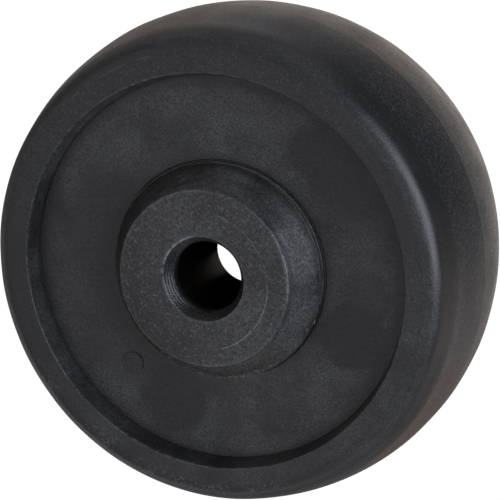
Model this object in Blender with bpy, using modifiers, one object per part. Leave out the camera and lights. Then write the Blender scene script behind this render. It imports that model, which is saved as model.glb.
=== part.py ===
"""One-piece moulded polyolefin wheel, 80 x 35 mm, with a 40 mm hub and a plain bore for a 10 mm axle.

The wheel is a single moulding. It lies on its rear hub ring with its front face up: the axle's line
is the Z axis, and the origin is on that line at half the tread's width. The section is one closed
outline in the XZ plane, turned about Z, and the only shape that isn't round is a small mould mark.
"""
import math

import bmesh
import bpy

MM = 0.001

# Driving dimensions: tread and rim
WHEEL_DIAMETER = 80.0 * MM
TREAD_WIDTH = 35.0 * MM
CROWN_DROP = 3.6 * MM          # how much lower the crowned tread is at its edges than in the middle
SHOULDER_RADIUS = 2.6 * MM
RIM_BAND_WIDTH = 3.2 * MM      # flat ring between the shoulder and the recess
PARTING_LINE_Z = 2.9 * MM      # where the mould's halves met, in front of the middle of the tread
PARTING_RIDGE_WIDTH = 0.6 * MM
PARTING_RIDGE_HEIGHT = 0.08 * MM

# Driving dimensions: recessed web, alike on both faces
RECESS_DEPTH = 3.4 * MM
RECESS_DRAFT = math.radians(14.0)
RECESS_FILLET = 0.6 * MM
RECESS_EDGE_RADIUS = 0.35 * MM
WEB_DISH = 0.6 * MM            # how far the web has sunk towards the hub

# Driving dimensions: front hub and bore
HUB_STAND_OUT = 2.5 * MM       # how far each end of the hub stands out past the rim
BORE_DIAMETER = 10.4 * MM      # at its narrow end, beside the core
BORE_DRAFT = math.radians(1.2)
BORE_LENGTH = 18.8 * MM        # from the front face to the core behind it
BORE_MOUTH_WIDTH = 1.15 * MM
BORE_MOUTH_DEPTH = 1.9 * MM
HUB_WALL = 8.7 * MM            # from the bore's narrow end out to the edge of the front face
HUB_TAPER = 3.0 * MM           # how much wider the hub is at its foot
HUB_EDGE_RADIUS = 0.5 * MM
COLLAR_WIDTH = 0.85 * MM
COLLAR_HEIGHT = 0.7 * MM
COLLAR_RISE = 0.4 * MM         # the collar's top slopes up to the hub's foot
COLLAR_EDGE_RADIUS = 0.25 * MM

# Driving dimensions: rear hub ring, cored out behind the bore
CORE_DIAMETER = 33.0 * MM
CORE_DRAFT = math.radians(1.0)
CORE_EDGE_RADIUS = 0.4 * MM
CORE_FILLET = 1.0 * MM
RING_WALL = 3.2 * MM
RING_TAPER = 0.5 * MM
RING_FILLET = 0.8 * MM

# Driving dimensions: round mould mark, a flat pad a little proud of the sloping front web
MARK_DIAMETER = 3.5 * MM
MARK_HEIGHT = 0.15 * MM
MARK_GAP = 3.0 * MM            # from the collar to the mark
MARK_ANGLE = math.radians(103.0)

# Fineness of the faceted shapes
TURN_STEPS = 64
CROWN_SEGMENTS = 12
SHOULDER_SEGMENTS = 6
FILLET_SEGMENTS = 3
MARK_SEGMENTS = 16
SMOOTH_ANGLE = math.radians(25.0)

# Sizes that follow
wheel_radius = WHEEL_DIAMETER / 2
rim_z = TREAD_WIDTH / 2
web_z = rim_z - RECESS_DEPTH
hub_z = rim_z + HUB_STAND_OUT
crown_radius = (rim_z ** 2 + CROWN_DROP ** 2) / (2 * CROWN_DROP)
crown_centre_r = wheel_radius - crown_radius
shoulder_z = rim_z - SHOULDER_RADIUS
shoulder_r = crown_centre_r + math.sqrt((crown_radius - SHOULDER_RADIUS) ** 2 - shoulder_z ** 2)
shoulder_angle = math.atan2(shoulder_z, shoulder_r - crown_centre_r)
recess_edge_r = shoulder_r - RIM_BAND_WIDTH
recess_foot_r = recess_edge_r - RECESS_DEPTH * math.tan(RECESS_DRAFT)
bore_r = BORE_DIAMETER / 2
bore_throat_z = hub_z - BORE_MOUTH_DEPTH
bore_throat_r = bore_r + (BORE_LENGTH - BORE_MOUTH_DEPTH) * math.tan(BORE_DRAFT)
hub_face_r = bore_r + HUB_WALL
hub_foot_r = hub_face_r + HUB_TAPER
collar_r = hub_foot_r + COLLAR_WIDTH
dish_z = web_z - WEB_DISH
collar_z = dish_z + COLLAR_HEIGHT
hub_foot_z = collar_z + COLLAR_RISE
core_floor_z = hub_z - BORE_LENGTH
core_mouth_r = CORE_DIAMETER / 2
core_floor_r = core_mouth_r - (hub_z + core_floor_z) * math.tan(CORE_DRAFT)
ring_face_r = core_mouth_r + RING_WALL
ring_foot_r = ring_face_r + RING_TAPER
mark_r = collar_r + MARK_GAP + MARK_DIAMETER / 2
mark_z = dish_z + WEB_DISH * (mark_r - collar_r) / (recess_foot_r - collar_r)


def arc(centre, radius, start, end, segments):
    """Points (r, z) along an arc, from the angle start to the angle end, both counted from +r."""
    turns = (start + (end - start) * i / segments for i in range(segments + 1))
    return [(centre[0] + radius * math.cos(t), centre[1] + radius * math.sin(t)) for t in turns]


def rounded_corner(before, corner, after, radius):
    """The arc of that radius that touches both edges of a corner."""
    to_before = (before[0] - corner[0], before[1] - corner[1])
    to_after = (after[0] - corner[0], after[1] - corner[1])
    heading_in = math.atan2(to_before[1], to_before[0])
    heading_out = math.atan2(to_after[1], to_after[0])
    half_angle = ((heading_out - heading_in + math.pi) % (2 * math.pi) - math.pi) / 2
    middle = heading_in + half_angle
    reach = radius / math.sin(abs(half_angle))
    centre = (corner[0] + reach * math.cos(middle), corner[1] + reach * math.sin(middle))
    side = math.copysign(math.pi / 2, half_angle)
    start = heading_in - side
    sweep = math.copysign(math.pi - 2 * abs(half_angle), half_angle)
    return arc(centre, radius, start, start - sweep, FILLET_SEGMENTS)


def rounded_path(corners):
    """Points of a path of straight edges; each corner is (r, z, fillet radius)."""
    points = [corners[0][:2]]
    for before, corner, after in zip(corners, corners[1:], corners[2:]):
        if corner[2] > 0:
            points += rounded_corner(before[:2], corner[:2], after[:2], corner[2])
        else:
            points.append(corner[:2])
    points.append(corners[-1][:2])
    return points


def front_face():
    """From the bore's narrow end up through its mouth, over the hub and the web, to the rim."""
    return rounded_path([
        (bore_r, core_floor_z, 0),
        (bore_throat_r, bore_throat_z, 0),
        (bore_throat_r + BORE_MOUTH_WIDTH, hub_z, 0),
        (hub_face_r, hub_z, HUB_EDGE_RADIUS),
        (hub_foot_r, hub_foot_z, 0),
        (collar_r, collar_z, COLLAR_EDGE_RADIUS),
        (collar_r, dish_z, 0),
        (recess_foot_r, web_z, RECESS_FILLET),
        (recess_edge_r, rim_z, RECESS_EDGE_RADIUS),
        (shoulder_r, rim_z, 0),
    ])


def crowned_tread():
    """Shoulder, crown with the parting ridge, and shoulder, from the front rim to the rear rim."""
    crown_centre = (crown_centre_r, 0)
    half_ridge = PARTING_RIDGE_WIDTH / 2
    ridge_top = math.asin((PARTING_LINE_Z + half_ridge) / crown_radius)
    ridge_bottom = math.asin((PARTING_LINE_Z - half_ridge) / crown_radius)
    crown_r_at_ridge = crown_centre_r + math.sqrt(crown_radius ** 2 - PARTING_LINE_Z ** 2)
    front_share = (shoulder_angle - ridge_top) / (2 * shoulder_angle)
    front_segments = max(2, round(CROWN_SEGMENTS * front_share))
    rear_segments = max(2, CROWN_SEGMENTS - front_segments)
    front_shoulder = (shoulder_r, shoulder_z)
    rear_shoulder = (shoulder_r, -shoulder_z)
    points = arc(front_shoulder, SHOULDER_RADIUS, math.pi / 2, shoulder_angle, SHOULDER_SEGMENTS)[1:-1]
    points += arc(crown_centre, crown_radius, shoulder_angle, ridge_top, front_segments)
    points.append((crown_r_at_ridge + PARTING_RIDGE_HEIGHT, PARTING_LINE_Z))
    points += arc(crown_centre, crown_radius, ridge_bottom, -shoulder_angle, rear_segments)
    points += arc(rear_shoulder, SHOULDER_RADIUS, -shoulder_angle, -math.pi / 2, SHOULDER_SEGMENTS)[1:-1]
    return points


def rear_face():
    """From the rear rim over the web and the hub ring, and up the core to the bore's narrow end."""
    return rounded_path([
        (shoulder_r, -rim_z, 0),
        (recess_edge_r, -rim_z, RECESS_EDGE_RADIUS),
        (recess_foot_r, -web_z, RECESS_FILLET),
        (ring_foot_r, -dish_z, RING_FILLET),
        (ring_face_r, -hub_z, HUB_EDGE_RADIUS),
        (core_mouth_r, -hub_z, CORE_EDGE_RADIUS),
        (core_floor_r, core_floor_z, CORE_FILLET),
        (bore_r, core_floor_z, 0),
    ])[:-1]


def make_collection(name):
    collection = bpy.data.collections.new(name)
    bpy.context.scene.collection.children.link(collection)
    return collection


def make_material():
    """Black polyolefin: a dark neutral grey, half matt."""
    material = bpy.data.materials.new("black_polyolefin")
    material.use_nodes = True
    shader = material.node_tree.nodes["Principled BSDF"]
    shader.inputs["Base Color"].default_value = (0.030, 0.030, 0.032, 1)
    shader.inputs["Roughness"].default_value = 0.5
    shader.inputs["Metallic"].default_value = 0.0
    return material


def turned_mesh(name, outline):
    """The closed outline turned once about Z, smooth except where its edges are sharp."""
    profile = bpy.data.meshes.new(name + "_section")
    edges = [(i, (i + 1) % len(outline)) for i in range(len(outline))]
    profile.from_pydata([(r, 0, z) for r, z in outline], edges, [])
    section = bpy.data.objects.new(name + "_section", profile)
    bpy.context.scene.collection.objects.link(section)
    screw = section.modifiers.new("Turn", "SCREW")
    screw.axis = "Z"
    screw.angle = 2 * math.pi
    screw.steps = TURN_STEPS
    screw.render_steps = TURN_STEPS
    screw.use_merge_vertices = True
    screw.merge_threshold = 0.00001
    bpy.context.view_layer.update()
    evaluated = section.evaluated_get(bpy.context.evaluated_depsgraph_get())
    mesh = bpy.data.meshes.new_from_object(evaluated)
    mesh.name = name
    bpy.data.objects.remove(section, do_unlink=True)
    bpy.data.meshes.remove(profile)
    mesh.shade_smooth()
    mesh.set_sharp_from_angle(angle=SMOOTH_ANGLE)
    return mesh


def make_mark_pad(collection):
    """The mould mark's pad, half of its thickness sunk in the front web."""
    mesh = bpy.data.meshes.new("mould_mark")
    shape = bmesh.new()
    bmesh.ops.create_cone(shape, cap_ends=True, segments=MARK_SEGMENTS, radius1=MARK_DIAMETER / 2,
                          radius2=MARK_DIAMETER / 2, depth=2 * MARK_HEIGHT)
    shape.to_mesh(mesh)
    shape.free()
    pad = bpy.data.objects.new("mould_mark", mesh)
    pad.location = (mark_r * math.cos(MARK_ANGLE), mark_r * math.sin(MARK_ANGLE), mark_z)
    pad.hide_render = True
    pad.display_type = "WIRE"
    collection.objects.link(pad)
    return pad


def make_wheel(collection, joined):
    mesh = turned_mesh("wheel", front_face() + crowned_tread() + rear_face())
    wheel = bpy.data.objects.new("wheel", mesh)
    collection.objects.link(wheel)
    mesh.materials.append(make_material())
    join = wheel.modifiers.new("Mould mark", "BOOLEAN")
    join.operation = "UNION"
    join.solver = "EXACT"
    join.object = make_mark_pad(joined)
    return wheel


def main():
    for old in list(bpy.data.objects):
        bpy.data.objects.remove(old, do_unlink=True)
    make_wheel(make_collection("Polyolefin wheel"), make_collection("Joined shapes"))


main()
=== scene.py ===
"""Looks of the moulded polyolefin wheel: its worn surface in real geometry, its material, and the studio."""
import math

import bmesh
import bpy
import numpy as np
from mathutils import Matrix, Quaternion, Vector


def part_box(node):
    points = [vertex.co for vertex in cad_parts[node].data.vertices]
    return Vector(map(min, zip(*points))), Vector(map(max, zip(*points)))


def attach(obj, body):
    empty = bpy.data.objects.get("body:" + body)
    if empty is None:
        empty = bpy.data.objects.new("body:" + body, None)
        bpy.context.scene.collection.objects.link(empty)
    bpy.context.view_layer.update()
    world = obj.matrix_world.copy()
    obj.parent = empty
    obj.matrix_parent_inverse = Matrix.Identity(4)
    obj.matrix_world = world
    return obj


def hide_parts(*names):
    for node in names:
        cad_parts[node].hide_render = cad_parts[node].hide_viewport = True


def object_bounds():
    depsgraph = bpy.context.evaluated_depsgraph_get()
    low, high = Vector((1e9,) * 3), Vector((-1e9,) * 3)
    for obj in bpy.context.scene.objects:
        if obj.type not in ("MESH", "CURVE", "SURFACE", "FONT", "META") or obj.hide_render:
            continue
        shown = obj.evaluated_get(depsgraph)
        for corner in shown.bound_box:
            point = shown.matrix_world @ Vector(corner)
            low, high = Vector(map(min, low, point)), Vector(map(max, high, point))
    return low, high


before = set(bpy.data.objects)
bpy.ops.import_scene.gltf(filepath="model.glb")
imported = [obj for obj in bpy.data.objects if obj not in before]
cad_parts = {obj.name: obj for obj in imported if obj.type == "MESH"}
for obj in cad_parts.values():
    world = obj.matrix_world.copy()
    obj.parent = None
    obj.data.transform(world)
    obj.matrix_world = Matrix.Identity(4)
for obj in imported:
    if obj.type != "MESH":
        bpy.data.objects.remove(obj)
cad_low, cad_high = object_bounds()
wheel_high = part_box("wheel")[1]

MM = 0.001

# The wheel's section, in millimetres
CROWN_DROP = 3.6                # how much lower the crowned tread is at its edges than in the middle
SHOULDER_RADIUS = 2.6
RIM_BAND_WIDTH = 3.2
TREAD_WIDTH = 35.0
PARTING_LINE_Z = 2.9
PARTING_RIDGE_WIDTH = 0.6
PARTING_RIDGE_HEIGHT = 0.012    # worn down by use
PARTING_STEP = 0.05             # how much lower the tread lies behind the parting line
RECESS_DEPTH = 3.4
RECESS_DRAFT = math.radians(14.0)
RECESS_EDGE_RADIUS = 0.2
WEB_DISH = 0.6
BORE_RADIUS = 5.2
BORE_DRAFT = math.radians(1.2)
BORE_LENGTH = 18.8
BORE_MOUTH_WIDTH = 1.15
BORE_MOUTH_DEPTH = 1.9
MOUTH_RING_PITCH = 0.42         # from one turning mark in the bore's mouth to the next
HUB_WALL = 8.7
HUB_TAPER = 3.0
HUB_EDGE_RADIUS = 0.35
COLLAR_WIDTH = 0.85
COLLAR_HEIGHT = 0.7
COLLAR_RISE = 0.4
COLLAR_EDGE_RADIUS = 0.12
COLLAR_INSET = 0.20             # how far the worn collar's edge lies in from its circle
COLLAR_OFFSET = (-0.135, 0.19)  # how far its centre lies off the axle's line, along X and Y
COLLAR_OVAL = 0.21              # how far it is squeezed along X and stretched along Y
GROOVE_WIDTH = 0.4              # between the collar and the hub's foot
GROOVE_DEPTH = 0.6
CREVICE_WIDTH = 0.25            # between the collar and the web
CREVICE_DEPTH = 0.35
CORE_RADIUS = 16.5
CORE_DRAFT = math.radians(1.0)
CORE_EDGE_RADIUS = 0.4
CORE_FILLET = 1.0
RING_WALL = 3.2
RING_TAPER = 0.5
RING_FILLET = 0.8
MARK_RADIUS = 1.75
MARK_HEIGHT = 0.15
MARK_BEVEL = 0.05
MARK_GAP = 3.0
MARK_ANGLE = math.radians(103.0)

# Sizes that follow
wheel_r = wheel_high.x / MM
hub_z = wheel_high.z / MM
rim_z = TREAD_WIDTH / 2
web_z = rim_z - RECESS_DEPTH
dish_z = web_z - WEB_DISH
crown_radius = (rim_z ** 2 + CROWN_DROP ** 2) / (2 * CROWN_DROP)
crown_centre_r = wheel_r - crown_radius
shoulder_z = rim_z - SHOULDER_RADIUS
shoulder_r = crown_centre_r + math.sqrt((crown_radius - SHOULDER_RADIUS) ** 2 - shoulder_z ** 2)
shoulder_angle = math.atan2(shoulder_z, shoulder_r - crown_centre_r)
recess_edge_r = shoulder_r - RIM_BAND_WIDTH
recess_foot_r = recess_edge_r - RECESS_DEPTH * math.tan(RECESS_DRAFT)
throat_z = hub_z - BORE_MOUTH_DEPTH
throat_r = BORE_RADIUS + (BORE_LENGTH - BORE_MOUTH_DEPTH) * math.tan(BORE_DRAFT)
mouth_r = throat_r + BORE_MOUTH_WIDTH
hub_face_r = BORE_RADIUS + HUB_WALL
hub_foot_r = hub_face_r + HUB_TAPER
collar_r = hub_foot_r + COLLAR_WIDTH
collar_z = dish_z + COLLAR_HEIGHT
crevice_r = collar_r + CREVICE_WIDTH
hub_foot_z = collar_z + COLLAR_RISE
core_floor_z = hub_z - BORE_LENGTH
core_floor_r = CORE_RADIUS - (hub_z + core_floor_z) * math.tan(CORE_DRAFT)
ring_face_r = CORE_RADIUS + RING_WALL
groove_foot = (hub_foot_r + GROOVE_WIDTH / 2, hub_foot_z - GROOVE_DEPTH)
mark_r = collar_r + MARK_GAP + MARK_RADIUS
mark_centre = (mark_r * math.cos(MARK_ANGLE), mark_r * math.sin(MARK_ANGLE))

# Smoother, darker patches on the front web where the mould was inserted: x, y, radius, soft edge, strength
GHOST_PATCHES = (
    (6.5, -24.8, 4.4, 0.6, 0.92),
    (1.8, -25.8, 5.0, 0.8, 0.92),
    (-3.0, -26.8, 3.4, 1.2, 0.8),
    (-20.0, -13.1, 5.4, 0.5, 0.92),
    (-16.2, -18.6, 4.2, 1.2, 0.5),
    (-13.1, 18.7, 5.8, 1.1, 0.9),
)

# Thin arcs: centre x and y, radius, half width, middle angle, the spread where it starts and where it ends
# to fade, and strength
FACE_ARCS = (
    (-0.13, 0.48, 10.9, 0.13, 198, 28, 40, 0.8),
    (-0.13, 0.48, 10.85, 0.1, 262, 12, 60, 0.4),
    (0.0, 0.6, 10.9, 0.1, 92, 15, 45, 0.14),
    (0.0, 0.0, 10.5, 0.13, 306, 3, 6, 0.45),
)
# Painted highlights: a glint on the hub's edge facing the key light, and a lit arc on the mould mark's wall
GLINT_ARCS = (
    (0.0, 0.0, 13.9, 0.2, 252, 3, 6, 0.5),
    (*mark_centre, MARK_RADIUS - 0.06, 0.12, 195, 12, 30, 0.4),
)
# Painted shadow along one side of the mould mark's foot
MARK_SHADOW_ARCS = (
    (*mark_centre, MARK_RADIUS + 0.08, 0.24, 325, 50, 95, 1.0),
    (*mark_centre, MARK_RADIUS + 0.08, 0.16, 250, 20, 45, 0.8),
)

TURN_STEPS = 300
FILLET_SEGMENTS = 6
MARK_SEGMENTS = 48
SMOOTH_ANGLE = math.radians(35)

# Colours of the moulding and of what lies on it, and of the light and shade painted on it
PLAIN_BLACK = (0.006, 0.006, 0.0065)
TREAD_BLACK = (0.003, 0.003, 0.0034)
# Painted shade: the bore's wall made blacker than the rest of the moulding
BORE_SHADE_BLACK = (0.002, 0.002, 0.002)
# Painted shade: the near-black laid into corners, recesses and the hub's shadow
PAINTED_SHADE = (0.0035, 0.003, 0.0022)
# Pale haze, also used to paint shadow on the web and a highlight on the shoulder
HAZE_AND_LIGHT_GREY = (0.037, 0.037, 0.0375)
# Painted warm reflection on the tread's ends
WARM_REFLECTION_BROWN = (0.064, 0.038, 0.023)
TREAD_FLECK = (0.05, 0.051, 0.057)
HUB_FACE_GREY = (0.036, 0.036, 0.038)
# Rubbed pale grey on the hub's face, also painted light on the lit side of the hub's flank
RUBBED_AND_LIT_GREY = (0.085, 0.086, 0.09)
DIRT = (0.075, 0.07, 0.057)
FLASH = (0.085, 0.08, 0.068)
SCUFF_GREY = (0.05, 0.051, 0.053)
STREAK_GREY = (0.06, 0.061, 0.066)
# Pale wear on edges, also painted glints
WORN_EDGE_AND_GLINT = (0.2, 0.205, 0.215)
# Painted shadow at the mould mark's foot
CREVICE_SHADOW_BLACK = (0.0, 0.0, 0.0)

# The moulded grain's bump, in millimetres
GRAIN_HEIGHT = 0.16


def arc(centre, radius, start, end, segments):
    """Points (r, z) along an arc, from the angle start to the angle end, both counted from +r."""
    turns = np.linspace(start, end, segments + 1)
    return [(centre[0] + radius * math.cos(t), centre[1] + radius * math.sin(t)) for t in turns]


def rounded_corner(before, corner, after, radius):
    """The arc of that radius that touches both edges of a corner."""
    heading_in = math.atan2(before[1] - corner[1], before[0] - corner[0])
    heading_out = math.atan2(after[1] - corner[1], after[0] - corner[0])
    half_angle = ((heading_out - heading_in + math.pi) % (2 * math.pi) - math.pi) / 2
    reach = radius / math.sin(abs(half_angle))
    middle = heading_in + half_angle
    centre = (corner[0] + reach * math.cos(middle), corner[1] + reach * math.sin(middle))
    start = heading_in - math.copysign(math.pi / 2, half_angle)
    sweep = math.copysign(math.pi - 2 * abs(half_angle), half_angle)
    return arc(centre, radius, start, start - sweep, FILLET_SEGMENTS)


def split(start, end, spacing):
    """Points after start, up to and with end, no further apart than the spacing."""
    count = max(1, math.ceil(math.dist(start, end) / spacing))
    shares = np.arange(1, count + 1) / count
    return [(start[0] + (end[0] - start[0]) * s, start[1] + (end[1] - start[1]) * s) for s in shares]


def path(corners):
    """Points of a path of straight edges.

    Each corner is (r, z, fillet radius, spacing of the points along the edge after it).
    """
    points = [corners[0][:2]]
    for before, corner, after in zip(corners, corners[1:], corners[2:]):
        if corner[2] > 0:
            turn = rounded_corner(before[:2], corner[:2], after[:2], corner[2])
        else:
            turn = [corner[:2]]
        points += split(points[-1], turn[0], before[3]) + turn[1:]
    return points + split(points[-1], corners[-1][:2], corners[-2][3])


def front_face():
    """From the bore's narrow end up through its mouth, over the hub, the collar and the web, to the rim."""
    return path([
        (BORE_RADIUS, core_floor_z, 0, 1.6),
        (throat_r, throat_z, 0.3, 0.09),
        (mouth_r, hub_z, 0.12, 0.4),
        (hub_face_r, hub_z, HUB_EDGE_RADIUS, 0.4),
        (hub_foot_r, hub_foot_z, 0, 0.15),
        (*groove_foot, 0.06, 0.15),
        (hub_foot_r + GROOVE_WIDTH, collar_z, 0.06, 0.15),
        (collar_r, collar_z, COLLAR_EDGE_RADIUS, 0.15),
        (collar_r, dish_z - CREVICE_DEPTH, 0.06, 0.15),
        (crevice_r, dish_z, 0.06, 0.5),
        (recess_foot_r, web_z, 0, 0.5),
        (recess_edge_r, rim_z, RECESS_EDGE_RADIUS, 0.4),
        (shoulder_r, rim_z, 0, 1),
    ])


def crowned_tread():
    """Shoulder, crown with the parting ridge, and shoulder, from the front rim to the rear rim."""
    crown_centre = (crown_centre_r, 0)
    half_ridge = PARTING_RIDGE_WIDTH / 2
    ridge_top = math.asin((PARTING_LINE_Z + half_ridge) / crown_radius)
    ridge_bottom = math.asin((PARTING_LINE_Z - half_ridge) / crown_radius)
    crown_r_at_ridge = crown_centre_r + math.sqrt(crown_radius ** 2 - PARTING_LINE_Z ** 2)
    tread = arc((shoulder_r, shoulder_z), SHOULDER_RADIUS, math.pi / 2, shoulder_angle, 14)[1:-1]
    tread += arc(crown_centre, crown_radius, shoulder_angle, ridge_top, 16)
    tread.append((crown_r_at_ridge + PARTING_RIDGE_HEIGHT, PARTING_LINE_Z))
    tread += arc(crown_centre, crown_radius, ridge_bottom, -shoulder_angle, 22)
    tread += arc((shoulder_r, -shoulder_z), SHOULDER_RADIUS, -shoulder_angle, -math.pi / 2, 10)[1:-1]
    return tread


def rear_face():
    """From the rear rim over the web and the hub ring, and up the core to the bore's narrow end."""
    return path([
        (shoulder_r, -rim_z, 0, 1),
        (recess_edge_r, -rim_z, RECESS_EDGE_RADIUS, 1),
        (recess_foot_r, -web_z, 0, 1.2),
        (ring_face_r + RING_TAPER, -dish_z, RING_FILLET, 1.2),
        (ring_face_r, -hub_z, HUB_EDGE_RADIUS, 0.8),
        (CORE_RADIUS, -hub_z, CORE_EDGE_RADIUS, 2),
        (core_floor_r, core_floor_z, CORE_FILLET, 2),
        (BORE_RADIUS, core_floor_z, 0, 1),
    ])[:-1]


def outward_normals(outline):
    """Unit normals of the closed outline, pointing out of the material."""
    along = np.roll(outline, -1, 0) - np.roll(outline, 1, 0)
    normals = np.stack([-along[:, 1], along[:, 0]], 1)
    return normals / np.linalg.norm(normals, axis=1)[:, None]


def ripple(points, wavelength, seed, waves=24):
    """Smooth random unevenness of one wavelength at the points, with a spread of about 1."""
    random = np.random.default_rng(seed)
    directions = random.normal(size=(waves, 3))
    directions /= np.linalg.norm(directions, axis=1)[:, None]
    phases = random.uniform(0, 2 * math.pi, waves)
    turns = points @ directions.T * (2 * math.pi / wavelength) + phases
    return np.sin(turns).sum(1) * math.sqrt(2 / waves)


def near(r, z, corner, width):
    """1 on the circle through a corner of the section, falling to 0 over about the width."""
    return np.exp(-((r - corner[0]) ** 2 + (z - corner[1]) ** 2) / width ** 2)


def span(angle, start, end, soft=15):
    """1 between two angles in degrees, counted anticlockwise, with soft ends."""
    middle = math.radians((start + end) / 2)
    half = math.radians((end - start) / 2)
    off = np.abs((angle - middle + math.pi) % (2 * math.pi) - math.pi)
    return np.clip((half - off) / math.radians(soft) + 0.5, 0, 1)


def step(values, low, high):
    """0 below low, 1 above high, and smooth between them."""
    t = np.clip((values - low) / (high - low), 0, 1)
    return t * t * (3 - 2 * t)


def below(values, full, gone):
    """1 below full, 0 above gone, and smooth between them."""
    return step(-values, -gone, -full)


def ring(r, start, full, fade, end):
    """1 between the radii full and fade, falling smoothly to 0 at the radii start and end."""
    return step(r, start, full) * below(r, fade, end)


def mouth_wall(r, z):
    """The sloping wall of the bore's mouth."""
    return step(z, throat_z, throat_z + 0.2) * below(r, mouth_r - 0.1, mouth_r)


def mouth_rings(r, z, angle):
    """Bright turning marks on the far wall of the bore's mouth, from 0 to 1."""
    rings = step(np.sin(z * 2 * math.pi / MOUTH_RING_PITCH), 0.2, 0.8)
    return mouth_wall(r, z) * rings * span(angle, 60, 105, 20)


def worn_edges_and_glints(r, z, angle):
    """How much the wheel's edges are rubbed pale, with a painted highlight where the hub's edge faces the key
    light.
    """
    rim = near(r, z, (recess_edge_r - 0.05, rim_z), 0.13)
    worn_and_glint = rim * (0.35 * span(angle, -20, 45) + 0.12 * span(angle, 45, 105) + 0.4 * span(angle, 105, 160))
    worn_and_glint += rim * 0.5 * span(angle, 290, 345)
    hub_edge = near(r, z, (hub_face_r, hub_z), 0.2)
    # Painted highlight on the hub's edge where it faces the key light, over its wear
    worn_and_glint += hub_edge * (0.1 + 0.5 * span(angle, 228, 262, 20) + 0.2 * span(angle, 330, 390))
    worn_and_glint += near(r, z, (mouth_r, hub_z), 0.12) * (0.15 + 0.75 * span(angle, -20, 50, 20))
    worn_and_glint += near(r, z, (collar_r, collar_z), 0.1) * 0.3 * span(angle, 180, 320)
    return worn_and_glint + mouth_rings(r, z, angle) * 0.45


def shaded_corners(r, z, angle):
    """Painted shade: darker colour in the corners of the recess, the collar and the mouth, on the lower
    recess wall, the far flank and the collar band, and on the web where the hub's shadow falls; and the
    shoulder's dark part.
    """
    web = (z < web_z + 0.6) * step(r, hub_foot_r, collar_r)
    recess_foot = (recess_foot_r, web_z)
    recess_wall = ring(r, recess_foot_r - 0.1, recess_foot_r + 0.2, recess_edge_r - 0.2, recess_edge_r)
    flank = ring(r, hub_face_r + 0.2, hub_face_r + 0.8, hub_foot_r, collar_r)
    collar_band = ring(r, hub_foot_r - 0.6, hub_foot_r - 0.2, collar_r + 0.05, collar_r + 0.35)
    return np.maximum.reduce([
        web * 0.75 * step(r, recess_foot_r - 2.6, recess_foot_r - 0.9) * span(angle, 190, 345, 40),
        web * step(r, recess_foot_r - 1.4, recess_foot_r - 0.2) * span(angle, 165, 270, 40),
        web * near(r, z, recess_foot, 0.35),
        web * 0.9 * near(r, z, recess_foot, 1.3) * span(angle, -10, 75, 30),
        web * 0.6 * near(r, z, (crevice_r, dish_z), 0.7) * span(angle, 170, 380),
        # Painted shadow of the hub on the web beside it
        web * 0.7 * np.exp(-np.abs(r - collar_r) / 2.0) * span(angle, 5, 120, 40),
        near(r, z, (shoulder_r + 0.9, rim_z - 0.3), 0.7) * span(angle, 322, 378),
        mouth_wall(r, z) * span(angle, 112, 260, 20),
        0.5 * recess_wall * span(angle, 112, 225, 30),
        0.75 * flank * span(angle, -30, 62, 30),
        0.7 * collar_band * span(angle, 225, 385, 20),
    ])


def haze_and_painted_light(r, angle):
    """The pale haze on the web and the rim band, with painted shadow where the hub's shadow falls on the web
    and a painted highlight on the lit part of the shoulder.
    """
    web = (r < recess_edge_r) * (
        0.69 + 0.36 * span(angle, 300, 380, 50) + 0.24 * span(angle, 148, 208, 30)
        # Painted shadow of the hub on the web
        - 0.42 * span(angle, 30, 130, 50) * below(r, 20, 28))
    rim = (r > recess_edge_r) * below(r, shoulder_r - 1, shoulder_r) * (0.15 + 0.4 * span(angle, 95, 245, 20))
    shoulder = ring(r, shoulder_r - 1, shoulder_r, shoulder_r + 1.5, shoulder_r + 2.5)
    # Painted highlight on the lit part of the shoulder
    return web + np.maximum(rim, 0.65 * shoulder * span(angle, 185, 285, 30))


def hub_face_tone(r, angle, hub_face):
    """How grey the hub's face is: palest in the middle, and darker on one side of its edge."""
    inner = 0.5 + 0.5 * below(r, 9, 11.5)
    return hub_face * (inner - 0.45 * span(angle, 65, 130, 30) * step(r, 9, 11))


def scuffs(r, z, angle):
    """Where the shoulder and the rim band are scraped."""
    shoulder = ring(r, shoulder_r - 1.2, shoulder_r - 0.2, shoulder_r + 0.6, shoulder_r + 1.3)
    rim = step(r, recess_edge_r + 0.4, recess_edge_r + 1.2) * (z > shoulder_z)
    total = shoulder * (z > shoulder_z) * span(angle, 87, 165, 10)
    total += 0.5 * rim * span(angle, 108, 132, 14)
    return total + near(r, z, (shoulder_r + 2.1, shoulder_z + 0.2), 1.0) * span(angle, 165, 216, 20)


def tread_masks(r, z, angle):
    """The tread's own tone and roughness, its painted sheen and its painted warm reflection, from 0 up."""
    tread = below(z, shoulder_z - 2, shoulder_z + 0.3) * (z > -shoulder_z) * (r > shoulder_r)
    rear_tread = below(z, PARTING_LINE_Z - 0.3, PARTING_LINE_Z) * (r > shoulder_r)
    brown_ends = span(angle, 175, 212, 15) + span(angle, 325, 362, 15)
    pale_ends = span(angle, 188, 234, 20) + span(angle, 316, 366, 20)
    shoulder_part = step(z, shoulder_z - 2.5, shoulder_z) * span(angle, -60, 212, 20)
    tread_part = step(z, shoulder_z - 7, shoulder_z - 2) * span(angle, 35, 165, 20)
    return {
        "tread": tread,
        # Painted sheen: the rear tread and the tread's ends made paler where they catch light at a glancing
        # angle
        "tread_sheen": rear_tread + 2 * tread * step(z, 9, 13) * pale_ends,
        # Painted warm reflection at the tread's ends and on the rear tread
        "warm_reflection": tread * np.maximum(brown_ends, 0.45 * rear_tread * span(angle, 285, 340, 20)),
        "rough": step(r, shoulder_r + 0.6, shoulder_r + 1.6) * np.maximum(shoulder_part, tread_part),
    }


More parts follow.
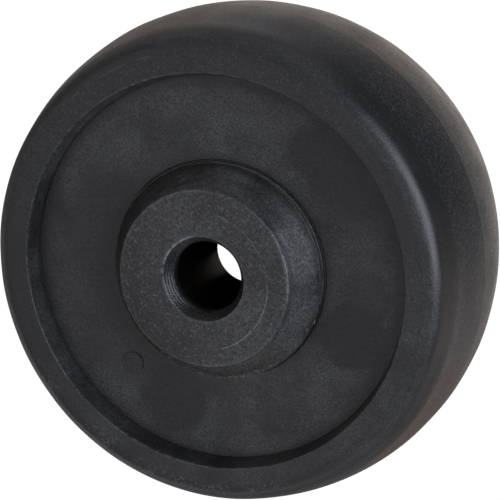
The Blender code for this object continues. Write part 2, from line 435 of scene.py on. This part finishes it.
def surface_masks(r, z, angle, points):
    """Where the surface is hazy, rubbed, worn, dirty, dark or smooth, and where light and shade are painted
    on it, for each vertex.
    """
    front = z > dish_z - 1
    hub_face = step(z, hub_z - 0.25, hub_z - 0.05)
    flank = ring(r, hub_face_r + 0.1, hub_face_r + 0.8, collar_r - 0.2, collar_r + 0.3)
    # Painted light on the lit side of the hub's flank, with rubbed specks
    lit_flank = 0.7 * span(angle, 185, 235, 30) + 1.1 * span(angle, 240, 273, 14)
    lit_flank += 0.25 * span(angle, 298, 324, 14)
    dirt = flank * front * (0.1 * span(angle, -10, 95, 30) + span(angle, 95, 190, 30))
    bore = below(r, throat_r, throat_r + 0.1) * below(z, throat_z - 0.6, throat_z) * (z > core_floor_z - 0.1)
    rim_specks = step(r, recess_edge_r + 0.2, recess_edge_r + 0.8) * span(angle, 280, 400, 30)
    streaked = step(r, recess_edge_r + 1, recess_edge_r + 2.4) * span(angle, 322, 392, 30)
    masks = {
        "haze_and_light": front * haze_and_painted_light(r, angle),
        "hub_face": hub_face,
        "hub_face_tone": np.clip(hub_face_tone(r, angle, hub_face), 0, 1),
        "worn_and_glint": np.clip(worn_edges_and_glints(r, z, angle), 0, 1),
        "dirt": np.clip(dirt, 0, 1),
        "rubbed_and_lit": np.clip(flank * (z > collar_z) * lit_flank, 0, 1),
        "scuffed": np.clip(scuffs(r, z, angle), 0, 1),
        "flash": near(r, z, (collar_r - 0.4, dish_z + 0.35), 0.7) * span(angle, 50, 180, 20),
        "shade": np.clip(shaded_corners(r, z, angle) * front, 0, 1),
        "smooth": ghost_patches(points),
        "bore": bore,
        "rim_specks": rim_specks * (z > shoulder_z),
        "streaked": streaked * (z > shoulder_z),
        "grain": grain_strength(r, z, angle) * (1 - 0.9 * bore),
    }
    return masks | tread_masks(r, z, angle)


def grain_strength(r, z, angle):
    """How strong the moulded grain is, from 0 to 1."""
    wall = ring(r, recess_foot_r - 0.1, recess_foot_r + 0.1, recess_edge_r, recess_edge_r + 0.2)
    rim = step(r, recess_edge_r, recess_edge_r + 0.3) * (z > 0)
    tread = step(r, shoulder_r + 1.9, shoulder_r + 3)
    shoulder = step(r, shoulder_r, shoulder_r + 1) * (z > 0)
    flank = ring(r, hub_face_r, hub_face_r + 0.5, hub_foot_r, collar_r)
    strength = 0.75 - 0.25 * wall - 0.25 * rim - 0.3 * shoulder * (1 - tread) - 0.2 * tread
    strength += flank * (0.25 * span(angle, 90, 225) - 0.45 * span(angle, 230, 330, 20))
    return np.clip(strength, 0, 1)


def ghost_patches(points):
    """The smooth patches of the front web, from 0 to 1."""
    patch = np.zeros(len(points))
    for x, y, radius, soft, strength in GHOST_PATCHES:
        off = np.hypot(points[:, 0] - x, points[:, 1] - y) + 0.25 * ripple(points, 3.0, 21)
        patch = np.maximum(patch, strength * below(off, radius - soft, radius + soft))
    return patch * (points[:, 2] > dish_z - 1) * (points[:, 2] < web_z + 0.6)


def collar_shift(r, z, angle):
    """The collar isn't quite round or central: how far its edge lies out from its own circle."""
    edge = COLLAR_OFFSET[0] * np.cos(angle) + COLLAR_OFFSET[1] * np.sin(angle)
    edge -= COLLAR_INSET + COLLAR_OVAL * np.cos(2 * angle)
    share = np.interp(r, [hub_foot_r, collar_r, crevice_r, crevice_r + 1.5], [0, 1, 1, 0])
    return edge * share * (z > dish_z - 1) * (z < hub_foot_z + 0.5)


def collar_fill(r, z, angle):
    """How far the collar's top is rubbed down and its crevice filled with dirt on the far side of the hub."""
    foot = (z > dish_z - 1) * (z < hub_foot_z + 0.02) * (r > hub_foot_r - 0.02) * (r < collar_r + 1)
    filled = span(angle, 15, 172, 16)
    groove = near(r, z, groove_foot, 0.2) * 0.15 * (1 - filled)
    crevice = near(r, z, (collar_r, dish_z - CREVICE_DEPTH), 0.15) * 0.15 * span(angle, 225, 390)
    radii = [hub_foot_r, groove_foot[0], hub_foot_r + GROOVE_WIDTH, collar_r, crevice_r]
    cap = dish_z + np.interp(r, radii, [1.1, 0.65, 0.42, 0.14, 0.0])
    return foot * (groove + crevice + filled * (np.clip(z, dish_z, cap) - z))


def unevenness(r, z, angle, points):
    """How far the surface lies below its ideal section, in millimetres."""
    depth = 0.015 * (1 + ripple(points, 9, 11)) * (z > -shoulder_z)
    turning_marks = 0.03 * np.sin(z * 2 * math.pi / MOUTH_RING_PITCH)
    depth += mouth_wall(r, z) * turning_marks * (0.3 + 0.7 * span(angle, 50, 115, 20))
    behind = np.clip(PARTING_LINE_Z - z, 0, None) * (r > shoulder_r)
    depth += PARTING_STEP * (1 - np.exp(-behind / 3)) * step(z, -shoulder_z, -shoulder_z + 4)
    nicks = np.clip(ripple(points, 1.6, 13) - 1.1, 0, 1)
    depth += 0.1 * nicks * near(r, z, (recess_edge_r, rim_z), 0.3)
    depth += 0.1 * nicks * near(r, z, (hub_face_r, hub_z), 0.4)
    ragged = near(r, z, (collar_r, collar_z), 0.6) * span(angle, 60, 225)
    depth += 0.08 * ragged * (1 + ripple(points, 1.2, 14))
    flank = (r > hub_face_r + 0.4) * (r < collar_r) * (z > dish_z)
    depth += 0.02 * flank * (1 + ripple(points, 2.2, 15))
    torn = 0.3 + 0.7 * span(angle, 95, 225, 20) + 0.7 * span(angle, -30, 60, 20)
    depth += 0.045 * flank * torn * ripple(points, 1.0, 16) * (1 - span(angle, 230, 300, 20))
    scrape = near(r, z, (shoulder_r + 1.4, rim_z - 0.45), 0.45) * span(angle, 318, 378, 20)
    return depth + 0.14 * scrape * (1 + 0.6 * ripple(points, 3.0, 17))


def worn_wheel():
    """The turned wheel as one closed mesh, uneven as a used moulding is."""
    outline = np.array(front_face() + crowned_tread() + rear_face())
    count = len(outline)
    normals = outward_normals(outline)
    r, z, normal_r, normal_z = (np.tile(values, TURN_STEPS) for values in (*outline.T, *normals.T))
    angle = np.repeat(np.arange(TURN_STEPS) * 2 * math.pi / TURN_STEPS, count)
    points = np.stack([r * np.cos(angle), r * np.sin(angle), z], 1)
    masks = surface_masks(r, z, angle, points)
    depth = unevenness(r, z, angle, points)
    moved_r = np.minimum(r + collar_shift(r, z, angle) - depth * normal_r, wheel_r)
    moved_z = np.clip(z - depth * normal_z + collar_fill(r, z, angle), -hub_z, hub_z)
    points = np.stack([moved_r * np.cos(angle), moved_r * np.sin(angle), moved_z], 1)
    column = np.arange(TURN_STEPS)[:, None] * count
    row = np.arange(count)[None]
    next_column = (column + count) % (TURN_STEPS * count)
    next_row = (row + 1) % count
    faces = np.stack([column + row, next_column + row, next_column + next_row, column + next_row], 2)
    mesh = bpy.data.meshes.new("wheel_surface")
    mesh.from_pydata((points * MM).tolist(), [], faces.reshape(-1, 4).tolist())
    for name, values in masks.items():
        mesh.attributes.new(name, "FLOAT", "POINT").data.foreach_set("value", values.astype(np.float32))
    mesh.shade_smooth()
    return mesh


def mark_pad():
    """The mould mark: a flat pad with a bevelled edge, a little proud of the sloping web."""
    shape = bmesh.new()
    middle_z = dish_z + WEB_DISH * (mark_r - collar_r) / (recess_foot_r - collar_r)
    levels = (
        (MARK_RADIUS, middle_z - MARK_HEIGHT),
        (MARK_RADIUS, middle_z + MARK_HEIGHT - MARK_BEVEL),
        (MARK_RADIUS - MARK_BEVEL, middle_z + MARK_HEIGHT),
    )
    rings = []
    for radius, height in levels:
        circle = []
        for i in range(MARK_SEGMENTS):
            t = 2 * math.pi * i / MARK_SEGMENTS
            x = mark_centre[0] + radius * math.cos(t)
            y = mark_centre[1] + radius * math.sin(t)
            circle.append(shape.verts.new((x * MM, y * MM, height * MM)))
        rings.append(circle)
    for lower, upper in zip(rings, rings[1:]):
        for i in range(MARK_SEGMENTS):
            j = (i + 1) % MARK_SEGMENTS
            shape.faces.new((lower[i], lower[j], upper[j], upper[i]))
    shape.faces.new(list(reversed(rings[0])))
    shape.faces.new(rings[-1])
    mesh = bpy.data.meshes.new("mould_mark")
    shape.to_mesh(mesh)
    shape.free()
    pad = bpy.data.objects.new("mould_mark", mesh)
    bpy.context.scene.collection.objects.link(pad)
    return pad


def set_mark_masks(mesh):
    """Give the vertices of the mould mark the same masks as the plain web."""
    count = len(mesh.vertices)
    places = np.empty(count * 3)
    mesh.vertices.foreach_get("co", places)
    x, y, z = places.reshape(-1, 3).T / MM
    on_mark = (np.hypot(x - mark_centre[0], y - mark_centre[1]) < MARK_RADIUS + 0.02) & (z > dish_z - 1)
    for mask in mesh.attributes:
        if mask.domain == "POINT" and mask.data_type == "FLOAT":
            values = np.empty(count)
            mask.data.foreach_get("value", values)
            values[on_mark] = {"haze_and_light": 0.25, "grain": 0.75}.get(mask.name, 0)
            mask.data.foreach_set("value", values)


def add_node(tree, kind, **settings):
    """A node with its properties set; the inputs among the settings are values or sockets."""
    node = tree.nodes.new(kind)
    inputs = settings.pop("inputs", {})
    for name, value in settings.items():
        setattr(node, name, value)
    for name, value in inputs.items():
        socket = node.inputs[name]
        if isinstance(value, bpy.types.NodeSocket):
            tree.links.new(value, socket)
        else:
            socket.default_value = value
    return node


def attribute(tree, name):
    return add_node(tree, "ShaderNodeAttribute", attribute_name=name).outputs["Fac"]


def noise(tree, vector, size, detail=2.0, roughness=0.5):
    """Noise whose features are about size millimetres across."""
    inputs = {"Vector": vector, "Scale": 1 / (size * MM), "Detail": detail, "Roughness": roughness}
    return add_node(tree, "ShaderNodeTexNoise", inputs=inputs).outputs["Fac"]


def remap(tree, value, low, high, to_low=0.0, to_high=1.0):
    inputs = {"Value": value, "From Min": low, "From Max": high, "To Min": to_low, "To Max": to_high}
    return add_node(tree, "ShaderNodeMapRange", inputs=inputs).outputs["Result"]


def math_node(tree, operation, first, second):
    return add_node(tree, "ShaderNodeMath", operation=operation, inputs={0: first, 1: second}).outputs[0]


def product(tree, *factors):
    total = factors[0]
    for factor in factors[1:]:
        total = math_node(tree, "MULTIPLY", total, factor)
    return total


def vector_math(tree, operation, first, second, output="Vector"):
    node = add_node(tree, "ShaderNodeVectorMath", operation=operation, inputs={0: first, 1: second})
    return node.outputs[output]


def mix_colour(tree, factor, first, second):
    node = add_node(tree, "ShaderNodeMix", data_type="RGBA")
    for index, value in ((0, factor), (6, first), (7, second)):
        if isinstance(value, bpy.types.NodeSocket):
            tree.links.new(value, node.inputs[index])
        elif index == 0:
            node.inputs[index].default_value = value
        else:
            node.inputs[index].default_value = (*value, 1)
    return node.outputs[2]


def direction(azimuth, elevation):
    """Unit vector: azimuth is the wheel's own angle from +X, both in degrees."""
    a, e = math.radians(azimuth), math.radians(elevation)
    return Vector((math.cos(a) * math.cos(e), math.sin(a) * math.cos(e), math.sin(e)))


def lobe(tree, vector, towards, inner, outer):
    """1 within inner degrees of a direction, 0 beyond outer degrees."""
    dot = vector_math(tree, "DOT_PRODUCT", vector, towards, "Value")
    near_dot, far_dot = math.cos(math.radians(inner)), math.cos(math.radians(outer))
    node = add_node(tree, "ShaderNodeMapRange", interpolation_type="SMOOTHSTEP",
                    inputs={"Value": dot, "From Min": far_dot, "From Max": near_dot})
    return node.outputs["Result"]


def thin_arcs(tree, place, arcs):
    """1 along thin arcs about upright lines, and 0 elsewhere."""
    total = None
    for x, y, radius, half_width, azimuth, inner, outer, strength in arcs:
        offset = vector_math(tree, "SUBTRACT", place, (x * MM, y * MM, 0))
        offset = vector_math(tree, "MULTIPLY", offset, (1, 1, 0))
        distance = vector_math(tree, "LENGTH", offset, (0, 0, 0), "Value")
        off = math_node(tree, "ABSOLUTE", math_node(tree, "SUBTRACT", distance, radius * MM), 0.0)
        line = remap(tree, off, 0.0, half_width * MM, strength, 0.0)
        heading = vector_math(tree, "NORMALIZE", offset, (0, 0, 0))
        line = math_node(tree, "MULTIPLY", line, lobe(tree, heading, direction(azimuth, 0), inner, outer))
        total = line if total is None else math_node(tree, "MAXIMUM", total, line)
    return total


def turned_streaks(tree, place, streaked, mottle):
    """Broken streaks that run round the wheel."""
    flat_place = vector_math(tree, "MULTIPLY", place, (1, 1, 0))
    radius = vector_math(tree, "LENGTH", flat_place, (0, 0, 0), "Value")
    radius_line = add_node(tree, "ShaderNodeCombineXYZ", inputs={"X": radius}).outputs[0]
    rings = noise(tree, radius_line, 0.5, 2, 0.6)
    return product(tree, streaked, rings, remap(tree, mottle, 0.35, 0.6))


def moulding_colour(tree, masks, grain, speckle, mottle, cloud):
    """The black moulding with its haze and painted light, the tread's painted sheen and painted warm
    reflection, and its flecks, made uneven by the grain.
    """
    clouds = math_node(tree, "ADD", remap(tree, mottle, 0.3, 0.7, -0.05, 0.67),
                       remap(tree, cloud, 0.3, 0.7, -0.1, 0.6))
    unsmooth = math_node(tree, "SUBTRACT", 1.0, masks["smooth"])
    haze_and_light_share = product(tree, masks["haze_and_light"], clouds, unsmooth)
    # Painted sheen on the tread
    tread_sheen_share = product(tree, masks["tread_sheen"], 0.32)
    colour = mix_colour(tree, masks["tread"], PLAIN_BLACK, TREAD_BLACK)
    # Haze with painted shadow and highlight, and the tread's painted sheen
    colour = mix_colour(tree, math_node(tree, "ADD", haze_and_light_share, tread_sheen_share), colour, HAZE_AND_LIGHT_GREY)
    # Painted warm reflection on the tread
    colour = mix_colour(tree, product(tree, masks["warm_reflection"], 0.75), colour, WARM_REFLECTION_BROWN)
    tread_flecks = product(tree, masks["tread"], remap(tree, speckle, 0.44, 0.66, 0.0, 0.38))
    rim_flecks = product(tree, masks["rim_specks"], remap(tree, speckle, 0.52, 0.66, 0.0, 0.32))
    colour = mix_colour(tree, math_node(tree, "ADD", tread_flecks, rim_flecks), colour, TREAD_FLECK)
    face_share = product(tree, masks["hub_face_tone"], remap(tree, cloud, 0.35, 0.65, 0.3, 0.55))
    colour = mix_colour(tree, face_share, colour, HUB_FACE_GREY)
    specks = vector_math(tree, "MULTIPLY_ADD", grain, (3.4, 3.4, 3.4))
    specks.node.inputs[2].default_value = (-0.7, -0.7, -0.7)
    return vector_math(tree, "MULTIPLY", colour, specks)


def wear_colour(tree, masks, colour, speckle, mottle, streaks):
    """The rubbed and dirty places with painted light on the hub's lit flank, the scuffs, and painted shade in
    the corners and the bore, over the moulding.
    """
    broad = remap(tree, mottle, 0.35, 0.6, 0.7, 1.1)
    scraped = product(tree, remap(tree, speckle, 0.5, 0.66), remap(tree, mottle, 0.4, 0.55))
    layers = (
        (product(tree, masks["hub_face"], remap(tree, speckle, 0.56, 0.68), 0.7), RUBBED_AND_LIT_GREY),
        # Painted light on the hub's lit flank
        (product(tree, masks["rubbed_and_lit"], remap(tree, speckle, 0.36, 0.64, 0.1, 1.0), broad), RUBBED_AND_LIT_GREY),
        (product(tree, masks["dirt"], remap(tree, speckle, 0.46, 0.64)), DIRT),
        (product(tree, masks["flash"], remap(tree, speckle, 0.42, 0.62, 0.1, 0.9)), FLASH),
        (product(tree, masks["scuffed"], scraped), SCUFF_GREY),
        (remap(tree, streaks, 0.5, 0.7, 0.0, 0.7), STREAK_GREY),
        # Painted shade in the corners and in the hub's shadow
        (product(tree, masks["shade"], 0.8), PAINTED_SHADE),
        # Painted shade inside the bore
        (masks["bore"], BORE_SHADE_BLACK),
    )
    for share, layer in layers:
        colour = mix_colour(tree, share, colour, layer)
    return colour


def polyolefin():
    """Black polyolefin with its moulded grain, haze, rubbed faces, worn edges and dirt, and with painted
    light, shade and reflections.
    """
    material = bpy.data.materials.new("black_polyolefin")
    material.use_nodes = True
    tree = material.node_tree
    shader = tree.nodes["Principled BSDF"]
    place = add_node(tree, "ShaderNodeTexCoord").outputs["Object"]
    masks = {name: attribute(tree, name) for name in (
        "haze_and_light", "hub_face", "hub_face_tone", "worn_and_glint", "dirt", "rubbed_and_lit", "scuffed", "flash", "warm_reflection", "shade",
        "smooth", "bore", "tread", "tread_sheen", "rough", "rim_specks", "streaked", "grain")}
    grain = noise(tree, place, 0.3, 1.5, 0.5)
    speckle = noise(tree, place, 0.42, 2, 0.6)
    broken = remap(tree, noise(tree, place, 0.9, 3, 0.6), 0.36, 0.56)
    mottle = noise(tree, place, 5, 3, 0.6)
    cloud = noise(tree, place, 14, 2, 0.5)
    streaks = turned_streaks(tree, place, masks["streaked"], mottle)

    colour = moulding_colour(tree, masks, grain, speckle, mottle, cloud)
    colour = wear_colour(tree, masks, colour, speckle, mottle, streaks)
    arcs = math_node(tree, "MULTIPLY", thin_arcs(tree, place, FACE_ARCS), masks["hub_face"])
    # Painted glints on the hub's edge and on the mould mark
    arcs = math_node(tree, "MAXIMUM", arcs, product(tree, thin_arcs(tree, place, GLINT_ARCS), masks["haze_and_light"]))
    lines = product(tree, math_node(tree, "MAXIMUM", masks["worn_and_glint"], arcs), broken)
    colour = mix_colour(tree, lines, colour, WORN_EDGE_AND_GLINT)
    # Painted shadow at one side of the mould mark's foot
    dark_lines = product(tree, thin_arcs(tree, place, MARK_SHADOW_ARCS), masks["haze_and_light"])
    colour = mix_colour(tree, dark_lines, colour, CREVICE_SHADOW_BLACK)
    tree.links.new(colour, shader.inputs["Base Color"])

    roughness = remap(tree, mottle, 0.3, 0.7, 0.38, 0.48)
    changes = ((masks["bore"], -0.24), (masks["rough"], 0.35), (masks["warm_reflection"], 0.15), (dark_lines, 0.5))
    for mask, change in changes:
        roughness = math_node(tree, "ADD", roughness, product(tree, mask, change))
    tree.links.new(roughness, shader.inputs["Roughness"])

    height = math_node(tree, "ADD", grain, product(tree, streaks, 3.0))
    bump = add_node(tree, "ShaderNodeBump",
                    inputs={"Strength": masks["grain"], "Distance": GRAIN_HEIGHT * MM, "Height": height})
    tree.links.new(bump.outputs["Normal"], shader.inputs["Normal"])
    return material


def make_wheel():
    wheel = bpy.data.objects.new("moulded_wheel", worn_wheel())
    bpy.context.scene.collection.objects.link(wheel)
    wheel.data.materials.append(polyolefin())
    pad = mark_pad()
    join = wheel.modifiers.new("Mould mark", "BOOLEAN")
    join.operation = "UNION"
    join.solver = "EXACT"
    join.object = pad
    bpy.context.view_layer.update()
    depsgraph = bpy.context.evaluated_depsgraph_get()
    evaluated = wheel.evaluated_get(depsgraph)
    joined = bpy.data.meshes.new_from_object(evaluated, preserve_all_data_layers=True, depsgraph=depsgraph)
    joined.set_sharp_from_angle(angle=SMOOTH_ANGLE)
    set_mark_masks(joined)
    wheel.modifiers.clear()
    wheel.data = joined
    bpy.data.objects.remove(pad, do_unlink=True)
    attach(wheel, "root")
    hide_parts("wheel")


# Camera: its place in metres, the side that it looks from, and its turn about its own line of sight
CAMERA_PLACE = (-0.00018, -0.13844, 0.28850)
CAMERA_AZIMUTH, CAMERA_ELEVATION = 270, 64.344
CAMERA_ROLL = 236.919
CAMERA_LENS = 142.18


def make_camera():
    data = bpy.data.cameras.new("camera")
    data.sensor_width = 36
    data.lens = CAMERA_LENS
    data.clip_start = 0.01
    camera = bpy.data.objects.new("camera", data)
    facing = direction(CAMERA_AZIMUTH, CAMERA_ELEVATION).to_track_quat("Z", "Y")
    roll = Quaternion((0, 0, 1), math.radians(CAMERA_ROLL))
    camera.matrix_world = Matrix.Translation(CAMERA_PLACE) @ (facing @ roll).to_matrix().to_4x4()
    bpy.context.scene.collection.objects.link(camera)
    bpy.context.scene.camera = camera


# Studio: soft glows around the wheel, by azimuth, elevation and spread in degrees, and radiance.
# Each is even out to GLOW_CORE degrees and fades from there to its spread.
AMBIENT = (0.145, 0.155, 0.175)
GLOWS = (
    ("ceiling", 112, 70, 37, (0.62, 0.62, 0.67)),
    ("left_fill", 26, 42, 37, (0.85, 0.81, 0.78)),
    ("far_fill", 140, 7, 37, (1.6, 1.52, 1.48)),
    ("backdrop", 89, -21, 37, (2.95, 2.65, 2.55)),
    ("table_near", 343, -9, 37, (1.62, 1.6, 1.65)),
    ("table_side", 197, -35, 37, (0.62, 0.54, 0.49)),
    ("table", 54, -78, 37, (1.3, 1.12, 0.97)),
)
GLOW_CORE = 2
KEY_AZIMUTH, KEY_ELEVATION = 247, 33
KEY_DISTANCE = 0.6
KEY_SIZE = (0.44, 0.44)
KEY_RADIANCE = 6.0
KEY_COLOUR = (0.85, 0.89, 1.0)


def make_key_light():
    """A softbox aimed at the wheel, of a stated radiance."""
    data = bpy.data.lights.new("key", "AREA")
    data.shape = "RECTANGLE"
    data.size, data.size_y = KEY_SIZE
    data.energy = KEY_RADIANCE * math.pi * KEY_SIZE[0] * KEY_SIZE[1]
    data.color = KEY_COLOUR
    light = bpy.data.objects.new("key", data)
    towards = direction(KEY_AZIMUTH, KEY_ELEVATION)
    light.location = towards * KEY_DISTANCE
    light.rotation_euler = towards.to_track_quat("Z", "Y").to_euler()
    bpy.context.scene.collection.objects.link(light)


def make_world():
    """White to the camera; to the wheel, a dim room with a few soft glows."""
    world = bpy.data.worlds.new("studio")
    bpy.context.scene.world = world
    world.use_nodes = True
    tree = world.node_tree
    tree.nodes.clear()
    vector = add_node(tree, "ShaderNodeTexCoord").outputs["Generated"]
    colour = AMBIENT
    for name, azimuth, elevation, spread, radiance in GLOWS:
        share = lobe(tree, vector, direction(azimuth, elevation), GLOW_CORE, spread)
        glow = add_node(tree, "ShaderNodeVectorMath", name=name, operation="MULTIPLY_ADD",
                        inputs={0: share, 1: radiance, 2: colour})
        colour = glow.outputs[0]
    to_camera = add_node(tree, "ShaderNodeLightPath").outputs["Is Camera Ray"]
    colour = mix_colour(tree, to_camera, colour, (1.0, 1.0, 1.0))
    background = add_node(tree, "ShaderNodeBackground", inputs={"Color": colour, "Strength": 1.0})
    output = add_node(tree, "ShaderNodeOutputWorld")
    tree.links.new(background.outputs[0], output.inputs["Surface"])


# Stage: the floor's half width in metres, and how far under the wheel it lies, in millimetres
FLOOR_HALF_WIDTH = 3.0
FLOOR_DROP = 0.02
SHADE_LIFT, SHEEN_STRIP_LIFT = 0.005, 0.01

# A glowing strip under the core, no lamp, whose reflection paints the brown sheen on the bore's wall: azimuth
# in degrees, then the inner and the outer radius in millimetres
BORE_SHEEN_STRIP = (
    (188, 6.2, 7.4),
    (212, 5.5, 7.8),
    (232, 5.2, 8.0),
    (255, 5.0, 8.2),
    (280, 5.0, 8.0),
    (305, 5.2, 6.6),
)
SHEEN_STRIP_GLOW = (0.42, 0.36, 0.3)


def make_floor():
    """A plain floor that only the camera sees, and two sheets on it that the camera doesn't see: a black one
    for the shade under the hub's ring, and a glowing strip that paints a reflection on the bore's wall.
    """
    z = cad_low.z - FLOOR_DROP * MM
    half = FLOOR_HALF_WIDTH
    floor_corners = [(-half, -half, z), (half, -half, z), (half, half, z), (-half, half, z)]
    floor = stage_piece("floor", floor_corners, (1, 1, 1))
    floor.visible_glossy = False
    floor.visible_diffuse = False
    floor.visible_shadow = False
    shade = stage_piece("ring_shade", circle(ring_face_r - RING_WALL / 2, z + SHADE_LIFT * MM), (0, 0, 0))
    shade.visible_camera = False
    edge = [(azimuth, inner) for azimuth, inner, _ in BORE_SHEEN_STRIP]
    edge += [(azimuth, outer) for azimuth, _, outer in reversed(BORE_SHEEN_STRIP)]
    corners = [direction(azimuth, 0) * radius * MM for azimuth, radius in edge]
    strip = [(x, y, z + SHEEN_STRIP_LIFT * MM) for x, y, _ in corners]
    # A glowing strip, no lamp, that paints a brown reflection on the bore's wall
    stage_piece("bore_sheen_strip", strip, SHEEN_STRIP_GLOW).visible_camera = False


def circle(radius, z):
    turns = np.arange(64) * 2 * math.pi / 64
    return [(radius * math.cos(t) * MM, radius * math.sin(t) * MM, z) for t in turns]


def stage_piece(name, corners, glow):
    """A flat sheet of the stage that shines with the given colour."""
    mesh = bpy.data.meshes.new(name)
    mesh.from_pydata(corners, [], [range(len(corners))])
    piece = bpy.data.objects.new(name, mesh)
    bpy.context.scene.collection.objects.link(piece)
    material = bpy.data.materials.new(name)
    material.use_nodes = True
    shader = material.node_tree.nodes["Principled BSDF"]
    shader.inputs["Base Color"].default_value = (0.1, 0.1, 0.1, 1)
    shader.inputs["Roughness"].default_value = 0.9
    shader.inputs["Specular IOR Level"].default_value = 0
    shader.inputs["Emission Color"].default_value = (*glow, 1)
    shader.inputs["Emission Strength"].default_value = 1
    mesh.materials.append(material)
    return piece


def set_colours():
    settings = bpy.context.scene.view_settings
    settings.view_transform = "Standard"
    settings.look = "None"
    settings.exposure = 0
    settings.gamma = 1


make_wheel()
make_camera()
make_key_light()
make_world()
make_floor()
set_colours()
